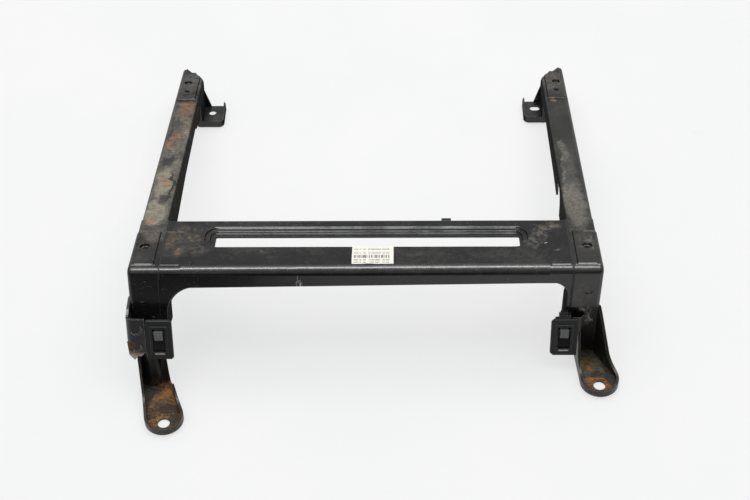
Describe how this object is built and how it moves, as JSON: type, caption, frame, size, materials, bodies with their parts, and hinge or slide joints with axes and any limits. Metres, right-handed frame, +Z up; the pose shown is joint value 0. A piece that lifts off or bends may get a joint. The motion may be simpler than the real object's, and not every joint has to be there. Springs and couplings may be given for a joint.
{
  "type": "vehicle seat base",
  "caption": "Pressed-steel seat base: sloping channel rails joined by a slotted cross member, legs and floor feet, with a rocker switch on each front leg.",
  "frame": {"origin": "centre of the round rear left floor hole, on the floor plane under the feet", "axes": "+X to the base's right as seen from the front, +Y to the rear, +Z up from the floor"},
  "size_m": [0.4671, 0.505, 0.1202],
  "materials": {
    "black_paint": "satin black paint, scuffed",
    "dusty_paint": "satin black paint under dried dirt",
    "rusty_paint": "black paint worn through to brown rust",
    "steel": "plain zinc-plated steel, dull",
    "brass": "tinned blades, dull",
    "trim_plastic": "fine-grained black plastic",
    "rocker_plastic": "smooth dark grey plastic",
    "lamp_plastic": "pale translucent plastic",
    "label_stock": "off-white paper label, slightly soiled"
  },
  "bodies": {
    "base": {"cross_member": "black_paint", "left_rail": "dusty_paint", "right_rail": "dusty_paint", "left_front_foot": "rusty_paint", "right_front_foot": "rusty_paint", "left_rear_foot": "black_paint", "right_rear_foot": "black_paint", "front_weld_nuts": "steel", "rear_weld_nuts": "steel", "cable_clip": "trim_plastic", "label": "label_stock", "left_bezel": "trim_plastic", "right_bezel": "trim_plastic", "left_housing": "trim_plastic", "right_housing": "trim_plastic", "left_pin": "steel", "right_pin": "steel", "left_lamp": "lamp_plastic", "right_lamp": "lamp_plastic", "left_terminals": "brass", "right_terminals": "brass", "left_wrap": "trim_plastic", "left_strap": "rusty_paint", "right_strap": "dusty_paint", "right_lug": "trim_plastic"},
    "left_rocker": {"left_rocker": "rocker_plastic"},
    "right_rocker": {"right_rocker": "rocker_plastic"}
  },
  "joints": [
    {"name": "left_rocker_pivot", "type": "hinge", "parent": "base", "child": "left_rocker", "pos_m": [-0.0076, -0.40277, 0.06087], "axis": [1, 0, 0], "range_deg": [-14, 0]},
    {"name": "right_rocker_pivot", "type": "hinge", "parent": "base", "child": "right_rocker", "pos_m": [0.3759, -0.37865, 0.03729], "axis": [1, 0, 0], "range_deg": [-14, 0]}
  ]
}
